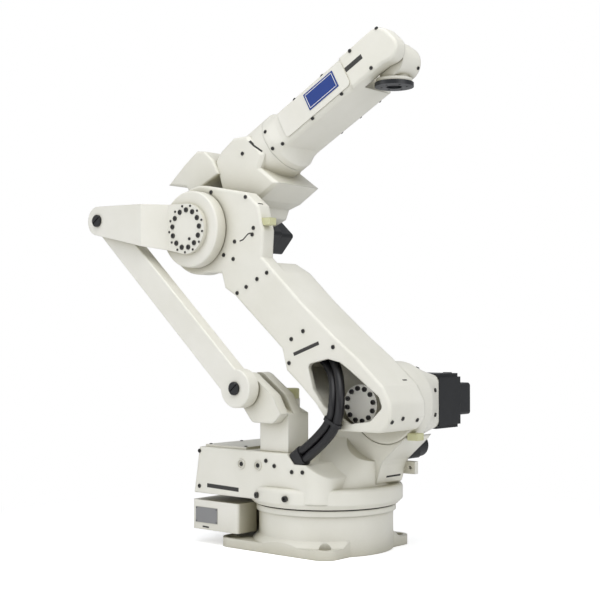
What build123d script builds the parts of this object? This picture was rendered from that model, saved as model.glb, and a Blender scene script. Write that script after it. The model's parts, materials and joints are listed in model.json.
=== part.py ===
from build123d import *
from math import cos, pi, radians, sin, tan
import os

# Industrial robot arm: fixed base, turret, lower arm, parallel link, forearm, wrist.
# Millimetres. The origin is where the turret axis meets the floor. +X is forward,
# +Z is up, and the side with the link and the hoses faces -Y.

# Base
plate_front = 187
plate_rear = 275
plate_half_width = 229
plate_thick = 30
plate_corner = 52
foot_hole = 22
foot_counterbore = 38
foot_counterbore_depth = 12
foot_inset = 38
drum_radius = 219
drum_top = 143
drum_flare = 20
rim_height = 18
rim_overhang = 9
turret_gap = 5
neck_radius = 150
running_gap = 0.3
clear_gap = 5

# Connector box behind the base
conn_rear = 387
conn_front = 182
conn_near = 227
conn_far = 150
conn_bottom = 46
conn_top = 142
conn_corner = 10
conn_neck_width = 200
panel_thick = 6
panel_margin = 12
power_plug_radius = 27
power_plug_wall = 5
power_plug_depth = 34
power_plug_offset = 70
signal_plug_width = 62
signal_plug_height = 34
signal_plug_wall = 4
signal_plug_depth = 30
signal_plug_offset = 60
nameplate_width = 98
nameplate_height = 50
nameplate_thick = 1.5
nameplate_inset = 16

# Turret: ring, deck on the link side, neck and column under the shoulder
ring_radius = 250
ring_thick = 62
ring_chamfer = 14
deck_rear = 375
deck_near = 230
deck_far = 120
deck_front = 165
deck_nose = 60
deck_nose_drop = 40
deck_corner = 60
deck_top = 318
deck_taper = 24
deck_low_top = 286
deck_step = 48
deck_step_run = 30
deck_bottom = 166
deck_edge = 6
lid_thick = 8
lid_margin = 14
lid_front = 156
neck_foot_radius = 214
neck_top_length = 250
neck_top_width = 132
neck_top_corner = 50
neck_top_height = 150
column_near = 18
column_far = 120
column_front = 214
column_reach = 346
column_back = 60
column_edge = 10
scoop_radius = 188
lug_length = 72
lug_height = 40
lug_thick = 18
lug_hole = 11
lug_bottom = 241
lug_x = 232

# Lower-arm drive on the turret, axis J2
j2_x = 248
j2_z = 474
bell_near = 20
bell_radius = 130
bell_straight = 60
bell_far = 160
bell_edge = 8
mount_size = 172
mount_corner = 26
motor2_size = 176
motor2_notch = 22
motor2_length = 125
motor2_cap_size = 106
motor2_cap_length = 115
motor2_cap_corner = 10
spigot_radius = 92

# Turntable motor, lying behind the column
motor1_x = 190
motor1_z = 322
motor1_size = 76
motor1_corner = 12
motor1_length = 92
motor1_cap_radius = 38
motor1_cap_length = 46

# Lower arm
arm_length = 847
arm_lean = 48.1
arm_near = 205
arm_thick = 180
arm_wall = 16
arm_far_wall = 24
arm_edge = 9
head_plate = 55
head_radius = 150
head_reach = 287
foot_drop = 78
foot_round = 42
window_round = 14
flange2_radius = 62
flange2_thick = 92

# Parallel link
lever_length = 374
lever_rise = 6.8
lever_hub_radius = 84
lever_hub_near = 268
lever_disc_radius = 128
lever_disc_near = 252
lever_disc_edge = 6
lever_end_radius = 50
lever_plate_near = 332
lever_plate = 21
lever_slope = 222
rod_thick = 48
rod_width = 92
rod_edge = 5
rod_low_eye_radius = 62
link_pin_radius = 20
pin_cap_radius = 21
pin_cap_thick = 9

# Bracket that carries the lower end of the link
ear_radius = 49
ear_thick = 38
ear_gap = 26
ear_round = 26
post_far = 118
post_rear = 96
post_front = 22
post_rear_height = 92
post_front_height = 122

# Stops
stop_x = -78
stop_y = 85
stop_width = 70
stop_depth = 54
stop_block_top = 420
stop_cup_radius = 29
stop_cup_height = 61
stop_pad_radius = 27
stop_pad_height = 33
front_pad_reach = 26
front_pad_height = 22
front_pad_drop = 112
elbow_pad_length = 46
elbow_pad_height = 24
elbow_pad_thick = 30
elbow_pad_overlap = 20

# Elbow and forearm housing, axis J3
boss_near = 144.5
boss_far = 10
boss_radius = 139
reducer_radius = 96
housing_near = 110
housing_far = 104
rear_box_near = 120
rear_box_far = 22
rear_box_edge = 8
housing_edge = 10
motor3_size = 132
motor3_corner = 12
motor3_length = 130
motor3_cap_size = 92
motor3_cap_length = 92
motor3_turn = 42
wrist_motor_size = 62
wrist_motor_length = 118
wrist_motor_ahead = 78
wrist_motor_spacing = 68
wrist_motor_y = 34
wrist_motor_up = 70
wrist_plate_thick = 30
wrist_plate_margin = 8

# Forearm and wrist, axes J4, J5 and J6
forearm_rise = 28.4
forearm_offset = 161
forearm_length = 836
tube_half_width = 98
tube_half_height = 59
tube_corner = 20
tube_front = 120
tube_to_elbow = 381
tube_flange_radius = 106
tube_flare = 37
tube_flange_thick = 22
collar_length = 90
cheek_thick = 48
cheek_radius = 60
cheek_edge = 10
cheek_nose_radius = 42
cheek_nose_ahead = 36
cheek_nose_below = 10
wrist_pivot_radius = 40
wrist_far = 52
wrist_top_radius = 34
wrist_body_radius = 54
wrist_body_ahead = 12
wrist_body_below = 34
wrist_drop = 98
wrist_skirt_radius = 57
wrist_skirt_height = 12
wrist_cover_radius = 36
wrist_cover_thick = 7
tool_radius = 62
tool_thick = 13
tool_pilot_radius = 25
tool_pilot_depth = 6
tool_bolt_circle = 40
tool_bolt_hole = 8
tool_bolt_count = 6
cover_thick = 3
cover_height = 92
cover_length = 300
cover_start = 134
cover_corner = 14
badge_height = 60
badge_length = 134
badge_thick = 1.5
badge_at = 242
badge_rise = 6

# Hoses between the turret and the lower arm
hose_radius = 14
hose_pitch = 31
gland_wall = 3
gland_length = 60
clip_wall = 6
clip_length = 24
tie_width = 10
tie_wall = 3

os.makedirs("parts", exist_ok=True)


def save(shape, name):
    export_step(shape, "parts/" + name + ".step")


def slab(face, near, far):
    """Extrudes a face drawn in X and Z from Y = near to Y = far."""
    return extrude(Plane.XZ.offset(-near) * face, amount=far - near, dir=(0, 1, 0))


def disc(x, z, radius, near, far):
    return slab(Pos(x, z) * Circle(radius), near, far)


def upright(x, y, z, radius, height):
    """A cylinder that stands on Z = z."""
    return Pos(x, y, z) * Cylinder(radius, height, align=(Align.CENTER, Align.CENTER, Align.MIN))


def strap(first, first_radius, second, second_radius):
    """The outline of a link: two round ends joined by tangents."""
    ends = Pos(*first) * Circle(first_radius) + Pos(*second) * Circle(second_radius)
    return make_hull(ends.edges())


def box(x0, x1, y0, y1, z0, z1):
    return Pos((x0 + x1) / 2, (y0 + y1) / 2, (z0 + z1) / 2) * Box(x1 - x0, y1 - y0, z1 - z0)


# Pivots of the arm and of the parallel link
shoulder = (j2_x, j2_z)
elbow = (j2_x - arm_length * sin(radians(arm_lean)), j2_z + arm_length * cos(radians(arm_lean)))
lever_dx = lever_length * cos(radians(lever_rise))
lever_dz = lever_length * sin(radians(lever_rise))
upper_pin = (elbow[0] - lever_dx, elbow[1] + lever_dz)
lower_pin = (j2_x - lever_dx, j2_z + lever_dz)

# Base casting: flange plate, drum with a flared foot, rim and bearing neck
plate_outline = Pos((plate_front - plate_rear) / 2, 0) * RectangleRounded(
    plate_front + plate_rear, 2 * plate_half_width, plate_corner)
base = extrude(plate_outline, amount=plate_thick)
base += upright(0, 0, 0, drum_radius, drum_top - rim_height)
flare = Pos(0, 0, plate_thick) * Cone(drum_radius + drum_flare, drum_radius, drum_flare,
                                      align=(Align.CENTER, Align.CENTER, Align.MIN))
base += flare & extrude(plate_outline, amount=plate_thick + drum_flare)
base += upright(0, 0, drum_top - rim_height, drum_radius + rim_overhang, rim_height)
ring_bottom = drum_top + turret_gap
base += upright(0, 0, 0, neck_radius, ring_bottom - running_gap)
for x in (-plate_rear + foot_inset, plate_front - foot_inset):
    for y in (-plate_half_width + foot_inset, plate_half_width - foot_inset):
        base -= upright(x, y, 0, foot_hole / 2, plate_thick)
        base -= upright(x, y, plate_thick - foot_counterbore_depth, foot_counterbore / 2,
                        drum_flare + foot_counterbore_depth)
save(base, "base_casting")

# Connector box on the rear of the base, joined to the drum by a neck
conn = box(-conn_rear, -conn_front, -conn_near, conn_far, conn_bottom, conn_top)
conn = fillet(conn.edges().filter_by(Axis.Z).group_by(Axis.X)[0], conn_corner)
conn = fillet(conn.edges().filter_by(Axis.Z).group_by(Axis.X)[-1], conn_corner)
conn += box(-conn_front - conn_corner, 0, -conn_neck_width / 2, conn_neck_width / 2, conn_bottom, conn_top)
conn -= upright(0, 0, conn_bottom, drum_radius + rim_overhang, conn_top - conn_bottom)
save(conn, "connector_box")
panel = box(-conn_rear - panel_thick, -conn_rear, -conn_near + panel_margin,
            conn_far - panel_margin, conn_bottom + panel_margin, conn_top - panel_margin)
save(panel, "connector_panel")
panel_z = (conn_bottom + conn_top) / 2
panel_y = (conn_far - conn_near) / 2
bottom_align = (Align.CENTER, Align.CENTER, Align.MIN)
power_plane = Plane(origin=(-conn_rear - panel_thick, panel_y - power_plug_offset, panel_z), z_dir=(-1, 0, 0))
power_plug = power_plane * (
    Cylinder(power_plug_radius, power_plug_depth, align=bottom_align)
    - Pos(0, 0, power_plug_depth / 2) * Cylinder(
        power_plug_radius - power_plug_wall, power_plug_depth, align=bottom_align))
save(power_plug, "power_connector")
signal_plane = Plane(origin=(-conn_rear - panel_thick, panel_y + signal_plug_offset, panel_z), z_dir=(-1, 0, 0))
signal_plug = signal_plane * (
    Box(signal_plug_height, signal_plug_width, signal_plug_depth, align=bottom_align)
    - Pos(0, 0, signal_plug_depth / 2) * Box(
        signal_plug_height - 2 * signal_plug_wall, signal_plug_width - 2 * signal_plug_wall,
        signal_plug_depth, align=bottom_align))
save(signal_plug, "signal_connector")
nameplate = box(-conn_rear + nameplate_inset, -conn_rear + nameplate_inset + nameplate_width,
                -conn_near - nameplate_thick, -conn_near,
                panel_z - nameplate_height / 2, panel_z + nameplate_height / 2)
save(nameplate, "nameplate")

# Turret casting: ring, deck, a neck that narrows upward and the column behind the arm
ring_top = ring_bottom + ring_thick
ring = upright(0, 0, ring_bottom, ring_radius, ring_thick)
ring = chamfer(ring.edges().group_by(Axis.Z)[0], ring_chamfer)
ring = fillet(ring.edges().group_by(Axis.Z)[-1], ring_chamfer)
deck_outline = Polygon(
    (-deck_rear, deck_bottom), (deck_front, deck_bottom), (deck_front, deck_low_top - deck_nose_drop),
    (deck_front - deck_nose, deck_low_top), (deck_front - deck_nose - deck_step, deck_low_top),
    (deck_front - deck_nose - deck_step - deck_step_run, deck_top),
    (-deck_rear + deck_taper, deck_top), align=None)
deck = slab(deck_outline, -deck_near, deck_far)
deck = fillet(deck.edges().filter_by(Axis.X).group_by(Axis.Z)[-1].group_by(Axis.Y)[0], deck_edge)
deck = fillet(deck.edges().filter_by(Axis.Z).group_by(Axis.X)[-1].group_by(Axis.Y)[0], deck_corner)
column_mid = (column_near + column_far) / 2 - column_near
neck_top = Plane(origin=(column_front - neck_top_length / 2 + column_edge, column_mid,
                         ring_top + neck_top_height))
neck = loft([Plane(origin=(0, 0, ring_top - ring_chamfer)) * Circle(neck_foot_radius),
             neck_top * RectangleRounded(neck_top_length, neck_top_width, neck_top_corner)])
column_outline = Polygon(
    (-column_back, ring_top), (column_front, ring_top), (column_front + 24, deck_low_top),
    (column_reach - 19, j2_z - 108), (column_reach, j2_z - 75), (column_reach - 20, j2_z),
    (j2_x, j2_z + 60), (j2_x - bell_radius + 20, j2_z), (-column_back, deck_top + 20), align=None)
column = slab(column_outline, -column_near, column_far)
column = chamfer(column.edges().filter_by(Axis.Y), column_edge)
turret = ring + deck + neck + column
turret -= disc(j2_x, j2_z, bell_radius + running_gap, -column_near - 1, column_far + 1)
turret -= disc(j2_x, j2_z, scoop_radius, -arm_near - clear_gap, -column_near)
motor1_half = motor1_size / 2
pocket_far = column_far + motor1_length
turret -= box(motor1_x - motor1_half - clear_gap, motor1_x + motor1_half + 2 * motor1_size, column_far, pocket_far,
              motor1_z - motor1_half - clear_gap, motor1_z + 2 * motor1_size)
save(turret, "turret_casting")
lid = box(-deck_rear + deck_taper + lid_margin, -lid_front, -deck_near + lid_margin, deck_far - lid_margin,
          deck_top, deck_top + lid_thick)
save(lid, "cable_box_lid")
lug_face = Rectangle(lug_length, lug_height)
for side in (-1, 1):
    lug_face -= Pos(side * lug_length / 4, 0) * Circle(lug_hole / 2)
lug = slab(Pos(lug_x, lug_bottom + lug_height / 2) * lug_face, column_far, column_far + lug_thick)
save(lug, "lifting_lug")

# J1 motor, lying across the back of the column
motor1_end = column_far + motor1_length
save(slab(Pos(motor1_x, motor1_z) * RectangleRounded(motor1_size, motor1_size, motor1_corner),
          column_far, motor1_end), "j1_motor")
save(disc(motor1_x, motor1_z, motor1_cap_radius, motor1_end, motor1_end + motor1_cap_length), "j1_motor_cap")

# J2 gear housing: round at the arm, square at the motor
bell = disc(j2_x, j2_z, bell_radius, -bell_near, bell_straight)
bell = fillet(bell.edges().group_by(Axis.Y)[0], bell_edge)
bell_mouth = Plane.XZ.offset(-bell_straight) * Pos(j2_x, j2_z) * Circle(bell_radius)
bell_end = Plane.XZ.offset(-bell_far) * Pos(j2_x, j2_z) * RectangleRounded(
    mount_size, mount_size, mount_corner)
bell += loft([bell_mouth, bell_end])
bell += disc(j2_x, j2_z, spigot_radius, -arm_near + arm_thick + running_gap, -bell_near + bell_edge)
save(bell, "j2_gear_housing")
motor2_face = Rectangle(motor2_size, motor2_size)
for sx in (-1, 1):
    for sz in (-1, 1):
        motor2_face -= Pos(sx * motor2_size / 2, sz * motor2_size / 2) * Rectangle(motor2_notch, motor2_notch)
motor2_end = bell_far + motor2_length
save(slab(Pos(j2_x, j2_z) * motor2_face, bell_far, motor2_end), "j2_motor")
save(slab(Pos(j2_x, j2_z) * RectangleRounded(motor2_cap_size, motor2_cap_size, motor2_cap_corner),
          motor2_end, motor2_end + motor2_cap_length), "j2_motor_cap")

# Link bracket: two ears round the lower pin on a post that stands on the deck
rod_near = lever_plate_near - lever_plate - clear_gap
rod_far = rod_near - rod_thick
ear_near = rod_far - clear_gap
ear_far = ear_near - 2 * ear_thick - ear_gap
post_near = ear_near - ear_thick
ear_outline = Pos(*lower_pin) * Circle(ear_radius) + Polygon(
    (lower_pin[0] - ear_radius * 0.86, lower_pin[1] - ear_radius * 0.5),
    (lower_pin[0] + ear_radius * 0.5, lower_pin[1] + ear_radius * 0.86),
    (-post_rear + 84, lower_pin[1] - 20), (post_front, deck_top + post_front_height),
    (post_front - 30, deck_top + post_rear_height), (-post_rear, deck_top + post_rear_height), align=None)
post_outline = Polygon(
    (-post_rear, deck_top), (post_front, deck_top), (post_front, deck_top + post_front_height),
    (-post_rear + 60, deck_top + post_front_height + 26), (-post_rear, deck_top + post_rear_height),
    align=None)
near_ear = slab(ear_outline, -ear_near, -post_near)
low_level = deck_top + post_rear_height
low_corners = near_ear.edges().filter_by(Axis.Y).filter_by_position(Axis.Z, low_level - 1, low_level + 1)
bracket = fillet(low_corners, ear_round)
bracket += slab(ear_outline, -ear_far - ear_thick, -ear_far)
bracket += slab(post_outline, -post_near, -post_far)
bracket -= disc(*lower_pin, link_pin_radius, -ear_near - 1, -ear_far + 1)
save(bracket, "link_bracket")
low_pin = disc(*lower_pin, link_pin_radius, -rod_near - pin_cap_thick, -ear_far)
low_pin += disc(*lower_pin, pin_cap_radius, -rod_near - pin_cap_thick, -rod_near - running_gap)
save(low_pin, "lower_link_pin")

# Rear stop: block, cup and pad that the lower arm leans towards
save(box(stop_x - stop_width / 2, stop_x + stop_width / 2, -stop_y - stop_depth / 2,
         -stop_y + stop_depth / 2, deck_top, stop_block_top), "stop_block")
save(upright(stop_x, -stop_y, stop_block_top, stop_cup_radius, stop_cup_height), "stop_cup")
stop_pad = upright(stop_x, -stop_y, stop_block_top + stop_cup_height, stop_pad_radius, stop_pad_height)
save(fillet(stop_pad.edges().group_by(Axis.Z)[-1], 5), "rear_bumper")


def arm_point(along, across):
    """A point measured from the elbow along the arm and across it, front positive."""
    ux, uz = sin(radians(arm_lean)), -cos(radians(arm_lean))
    return (elbow[0] + along * ux - across * uz, elbow[1] + along * uz + across * ux)


# Lower arm: head plate, hollow shank with a window, foot round the J2 flange
foot_corner = (shoulder[0] + 128, shoulder[1] - foot_drop)
foot_back = (shoulder[0] - 62, shoulder[1] - foot_drop)
shank_front = [arm_point(238, 52), arm_point(282, 96), arm_point(350, 112), arm_point(arm_length - 351, 111),
               arm_point(arm_length - 175, 120), arm_point(arm_length - 68, 130), arm_point(arm_length + 58, 132),
               arm_point(arm_length + 112, 112), arm_point(arm_length + 143, 78)]
shank_rear = [arm_point(arm_length - 94, -84), arm_point(arm_length - 176, -84), arm_point(arm_length - 250, -88),
              arm_point(arm_length - 310, -50), arm_point(271, -58), arm_point(220, -69), arm_point(175, -42)]
shank_outline = Polygon(*shank_front, foot_corner, foot_back, *shank_rear, align=None)
head_outline = Pos(*elbow) * Circle(head_radius) + Polygon(
    (elbow[0] + 26, elbow[1] + 148), (elbow[0] + 209, elbow[1] + 112), (elbow[0] + 266, elbow[1] + 66),
    (elbow[0] + head_reach, elbow[1] - 16), arm_point(278, 112), arm_point(350, 112), arm_point(350, -56),
    arm_point(271, -58), arm_point(220, -69), arm_point(175, -42), arm_point(60, -134), elbow, align=None)
arm = slab(shank_outline, -arm_near, -arm_near + arm_thick)
foot_edges = arm.edges().filter_by(Axis.Y).filter_by_position(Axis.Z, foot_corner[1] - 1, shoulder[1] + 30)
arm = fillet(foot_edges.filter_by_position(Axis.X, foot_back[0] - 1, shoulder[0] + 2 * foot_drop + 30), foot_round)
arm -= disc(*elbow, boss_radius + 2 * clear_gap, -arm_near, -arm_near + arm_thick)
arm += slab(head_outline, -arm_near, -arm_near + head_plate)
arm = fillet(arm.edges().group_by(Axis.Y)[0], arm_edge)
cavity_outline = Polygon(
    arm_point(330, 94), arm_point(arm_length - 287, 96), arm_point(arm_length - 68, 112),
    arm_point(arm_length + 50, 114), arm_point(arm_length + 120, 68),
    (foot_corner[0] - 12, foot_corner[1] + arm_wall), (foot_back[0] + 12, foot_back[1] + arm_wall),
    arm_point(arm_length - 94, -66), arm_point(arm_length - 241, -66), arm_point(arm_length - 299, -34),
    arm_point(330, -38), align=None)
arm -= slab(cavity_outline, -arm_near + arm_wall, -arm_near + arm_thick - arm_far_wall)
window_outline = Polygon(
    arm_point(arm_length - 198, -14), arm_point(arm_length - 151, 52), arm_point(arm_length - 108, 77),
    arm_point(arm_length - 68, 84), arm_point(arm_length + 66, 100), arm_point(arm_length + 98, 84),
    arm_point(arm_length + 92, 22), arm_point(arm_length + 40, -40), arm_point(arm_length - 60, -66),
    arm_point(arm_length - 130, -56), align=None)
window = slab(window_outline, -arm_near - 1, -arm_near + arm_wall)
arm -= fillet(window.edges().filter_by(Axis.Y), window_round)
arm -= disc(*elbow, reducer_radius + running_gap, -arm_near - 1, -arm_near + head_plate + 1)
save(arm, "lower_arm")
flange2_far = -arm_near + arm_thick - arm_far_wall
save(disc(*shoulder, flange2_radius, flange2_far - flange2_thick, flange2_far), "j2_output_flange")
elbow_pad_x = elbow[0] + head_reach - elbow_pad_overlap
elbow_pad = box(elbow_pad_x, elbow_pad_x + elbow_pad_length, -arm_near + 6, -arm_near + 6 + elbow_pad_thick,
                elbow[1], elbow[1] + elbow_pad_height)
save(elbow_pad - arm, "elbow_bumper")

# Front stop pad, set into the shoulder of the column under the gear housing
front_pad = box(column_reach - column_edge, column_reach + front_pad_reach, -column_near, column_near,
                j2_z - front_pad_drop, j2_z - front_pad_drop + front_pad_height)
save(front_pad - turret - bell, "front_bumper")

# Link rod: a flat bar with an eye at each pin
rod = slab(strap(upper_pin, rod_width / 2, lower_pin, rod_width / 2), -rod_near, -rod_far)
rod += disc(*lower_pin, rod_low_eye_radius, -rod_near, -rod_far)
rod = fillet(rod.edges().group_by(Axis.Y)[0] + rod.edges().group_by(Axis.Y)[-1], rod_edge)
for pin in (upper_pin, lower_pin):
    rod -= disc(*pin, link_pin_radius + running_gap, -rod_near - 1, -rod_far + 1)
save(rod, "link_rod")

# Link lever: hub disc at the elbow and a plate that steps outward past the rod
rod_swing = upper_pin[0] + lever_slope - 26
lever_plan = Polygon(
    (upper_pin[0] - lever_end_radius - 5, -lever_plate_near), (upper_pin[0] + lever_slope, -lever_plate_near),
    (elbow[0] - lever_hub_radius, -lever_hub_near), (elbow[0] + lever_hub_radius + 5, -lever_hub_near),
    (elbow[0] + lever_hub_radius + 5, -lever_disc_near + 20), (elbow[0] - lever_hub_radius, -lever_disc_near + 20),
    (rod_swing, -lever_plate_near + lever_plate),
    (upper_pin[0] - lever_end_radius - 5, -lever_plate_near + lever_plate), align=None)
lever_profile = strap(upper_pin, lever_end_radius, elbow, lever_hub_radius)
lever = slab(lever_profile, -lever_plate_near, -arm_near) & (
    Pos(0, 0, elbow[1] - arm_length / 2) * extrude(lever_plan, amount=arm_length, dir=(0, 0, 1)))
lever_disc = disc(*elbow, lever_disc_radius, -lever_disc_near, -arm_near - clear_gap)
lever += fillet(lever_disc.edges().group_by(Axis.Y)[0], lever_disc_edge)
lever -= disc(*upper_pin, link_pin_radius, -lever_plate_near - 1, -rod_near)
save(lever, "link_lever")
up_pin = disc(*upper_pin, link_pin_radius, -lever_plate_near, -rod_far)
up_pin += disc(*upper_pin, pin_cap_radius, -lever_plate_near - pin_cap_thick, -lever_plate_near)
save(up_pin, "upper_link_pin")

# Forearm axis J4 runs up and forward, and the wrist centre lies on it
rise = radians(forearm_rise)
wrist_x = elbow[0] + forearm_length * cos(rise) - forearm_offset * sin(rise)
wrist_z = elbow[1] + forearm_length * sin(rise) + forearm_offset * cos(rise)
fore_plane = Plane(origin=(wrist_x, 0, wrist_z), x_dir=(0, 1, 0), z_dir=(-cos(rise), 0, -sin(rise)))


def fore_point(back, up):
    """A point measured from the wrist centre back along the forearm and square to it."""
    return (wrist_x - back * cos(rise) - up * sin(rise), wrist_z - back * sin(rise) + up * cos(rise))


def hub_point(ahead, up):
    """A point measured from the elbow ahead along the forearm and square to it."""
    return fore_point(forearm_length - ahead, up - forearm_offset)


# Forearm housing: body with its front wing, collar, rear box, elbow boss and wrist motor plate
tube_rear = forearm_length - tube_to_elbow
flange_rear = tube_rear + tube_flare + tube_flange_thick
wrist_motor_start = forearm_length - wrist_motor_ahead
collar_start = flange_rear + running_gap
body_outline = Polygon(
    fore_point(collar_start + 56, 57), hub_point(205, 249), hub_point(135, 241), hub_point(96, 223),
    hub_point(wrist_motor_ahead, 121), (elbow[0] - 100, elbow[1] + 70), elbow, (elbow[0] + 120, elbow[1] + 50),
    hub_point(157, 9), hub_point(208, -1), hub_point(304, 4), hub_point(260, 93),
    fore_point(collar_start + 24, -40), align=None)
housing = slab(body_outline, -housing_near, housing_far)
housing = chamfer(housing.edges().group_by(Axis.Y)[0], housing_edge)
housing += fore_plane * Pos(0, 0, collar_start) * Cylinder(
    tube_flange_radius, collar_length, align=bottom_align)
rear_outline = Polygon(
    hub_point(101, 227), hub_point(80, 278), hub_point(50, 299), hub_point(-25, 291), hub_point(-126, 271),
    hub_point(-53, 215), hub_point(-45, 178), hub_point(101, 171), align=None)
rear_box = slab(rear_outline, -rear_box_near, -rear_box_far)
housing += fillet(rear_box.edges().group_by(Axis.Y)[0], rear_box_edge)
housing += disc(*elbow, boss_radius, -boss_near, -boss_far)
wrist_plate_side = wrist_motor_spacing + wrist_motor_size + 2 * wrist_plate_margin
housing += fore_plane * Pos(
    wrist_motor_y + wrist_motor_spacing / 2, wrist_motor_spacing / 2 - wrist_motor_up,
    wrist_motor_start - wrist_plate_thick) * Box(
        wrist_plate_side, wrist_plate_side, wrist_plate_thick, align=bottom_align)
save(housing, "forearm_housing")
save(disc(*elbow, reducer_radius, -arm_near - clear_gap + running_gap, -boss_near), "j3_reducer")

# J3 motor, behind the elbow boss
motor3_start = -boss_far
motor3_end = motor3_start + motor3_length
motor3_place = Pos(*elbow) * Rot(0, 0, -motor3_turn)
motor3 = slab(motor3_place * RectangleRounded(motor3_size, motor3_size, motor3_corner), motor3_start, motor3_end)
save(motor3 - slab(body_outline, -housing_near, housing_far), "j3_motor")
save(slab(motor3_place * RectangleRounded(motor3_cap_size, motor3_cap_size, motor3_corner),
          motor3_end, motor3_end + motor3_cap_length), "j3_motor_cap")

# Three wrist motors on the back of the housing, each with its round cap
motor_places = {
    "j4": (wrist_motor_y, wrist_motor_up),
    "j5": (wrist_motor_y + wrist_motor_spacing, wrist_motor_up),
    "j6": (wrist_motor_y + wrist_motor_spacing / 2, wrist_motor_up - wrist_motor_spacing),
}
for name, (across, up) in motor_places.items():
    place = fore_plane * Pos(across, -up, wrist_motor_start)
    save(place * extrude(RectangleRounded(wrist_motor_size, wrist_motor_size, motor1_corner),
                         amount=wrist_motor_length), name + "_motor")

# Forearm tube: flange, flare, rounded box section and the wrist cheek on the near side
section = RectangleRounded(2 * tube_half_width, 2 * tube_half_height, tube_corner)
tube = fore_plane * Pos(0, 0, tube_front) * extrude(section, amount=tube_rear - tube_front)
flare_end = tube_rear + tube_flare
tube += fore_plane * loft([Plane(origin=(0, 0, tube_rear)) * section,
                           Plane(origin=(0, 0, flare_end)) * Circle(tube_flange_radius)])
tube += fore_plane * Pos(0, 0, flare_end) * Cylinder(
    tube_flange_radius, tube_flange_thick, align=bottom_align)
cheek_inner = -tube_half_width + cheek_thick
cheek_outline = strap((wrist_x, wrist_z), cheek_radius,
                      (wrist_x + cheek_nose_ahead, wrist_z - cheek_nose_below), cheek_nose_radius)
cheek_outline += Polygon(
    fore_point(0, cheek_radius), fore_point(tube_front + tube_corner, tube_half_height),
    fore_point(tube_front + tube_corner, -tube_half_height), fore_point(0, -cheek_radius), align=None)
cheek = slab(cheek_outline, -tube_half_width, cheek_inner)
cheek = fillet(cheek.edges().group_by(Axis.Y)[0], cheek_edge)
tube += cheek
save(tube, "forearm_tube")
cover = fore_plane * (Pos(-tube_half_width, 0, cover_start + cover_length / 2) * Rot(0, -90, 0)
                      * extrude(RectangleRounded(cover_length, cover_height, cover_corner), amount=cover_thick))
save(cover, "side_cover")
badge = fore_plane * (Pos(-tube_half_width - cover_thick - badge_thick / 2, -badge_rise, badge_at)
                      * Box(badge_thick, badge_height, badge_length))
save(badge, "badge_plate")

# Wrist block: pivot, body, far cover and the skirt above the tool flange
wrist_near = cheek_inner + clear_gap
body_place = (wrist_x + wrist_body_ahead, wrist_z - wrist_body_below)
wrist = slab(strap((wrist_x, wrist_z), wrist_top_radius, body_place, wrist_body_radius), wrist_near, wrist_far)
wrist += disc(wrist_x, wrist_z, wrist_pivot_radius, cheek_inner + running_gap, wrist_near + 1)
skirt_bottom = wrist_z - wrist_drop
wrist += upright(wrist_x, 0, skirt_bottom, wrist_skirt_radius, wrist_skirt_height)
wrist += upright(wrist_x, 0, skirt_bottom, -wrist_near, wrist_drop - wrist_body_below)
wrist += disc(*body_place, wrist_cover_radius, wrist_far, wrist_far + wrist_cover_thick)
save(wrist, "wrist_block")
tool_bottom = skirt_bottom - running_gap - tool_thick
tool = upright(wrist_x, 0, tool_bottom, tool_radius, tool_thick)
tool -= upright(wrist_x, 0, tool_bottom, tool_pilot_radius, tool_pilot_depth)
for k in range(tool_bolt_count):
    angle = 2 * pi * (k + 0.5) / tool_bolt_count
    tool -= upright(wrist_x + tool_bolt_circle * cos(angle), tool_bolt_circle * sin(angle), tool_bottom,
                    tool_bolt_hole / 2, tool_thick)
save(tool, "tool_flange")

# Hoses: the middle of the pair, from the deck up into the window of the lower arm
pair_route = [(84, -215, 315), (110, -219, 332), (141, -223, 353), (172, -229, 376), (203, -231, 406),
              (221, -231, 441), (225, -229, 477), (213, -212, 518), (190, -188, 558), (160, -166, 590),
              (126, -154, 619), (89, -154, 652)]


def hose_route(side):
    """The route of one hose, moved square to the pair's run in X and Z."""
    route = []
    for i, (x, y, z) in enumerate(pair_route):
        x0, _, z0 = pair_route[min(max(i - 1, 0), len(pair_route) - 2)]
        x1, _, z1 = pair_route[max(min(i + 1, len(pair_route) - 1), 1)]
        if i == 1:
            x1, _, z1 = pair_route[1]
        if i == len(pair_route) - 2:
            x0, _, z0 = pair_route[-2]
        run = ((x1 - x0) ** 2 + (z1 - z0) ** 2) ** 0.5
        route.append(Vector(x + side * hose_pitch / 2 * (z1 - z0) / run, y,
                            z - side * hose_pitch / 2 * (x1 - x0) / run))
    return route


for name, side in {"hose_upper": -1, "hose_lower": 1}.items():
    points = hose_route(side)
    radii = []
    for before, here, after in zip(points, points[1:], points[2:]):
        turn = radians((here - before).get_angle(after - here))
        radii.append(0.45 * min((here - before).length, (after - here).length) / tan(turn / 2))
    path = FilletPolyline(*points, radius=radii)
    tube_face = Plane(origin=path @ 0, z_dir=path % 0) * Circle(hose_radius)
    hose = sweep(tube_face, path=path)
    print(name, "radii", [round(r) for r in radii], "volume over section times length",
          round(hose.volume / (pi * hose_radius ** 2 * path.length), 4))
    save(hose, name)


def pair_plane(start, end, share):
    """A plane square to the pair's run between two route points, its x axis across the pair."""
    first, last = Vector(*pair_route[start]), Vector(*pair_route[end])
    across = Vector(last.Z - first.Z, 0, first.X - last.X)
    return Plane(origin=first + (last - first) * share, x_dir=across, z_dir=last - first)


def pair_section(wall):
    """The outline round both hoses, wider than they are by the wall."""
    radius = hose_radius + wall
    return SlotOverall(hose_pitch + 2 * radius, 2 * radius)


# Gland under the hoses, on the deck
gland = pair_plane(0, 1, 0) * extrude(pair_section(gland_wall), amount=-gland_length)
save(gland - turret, "hose_gland")

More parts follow.
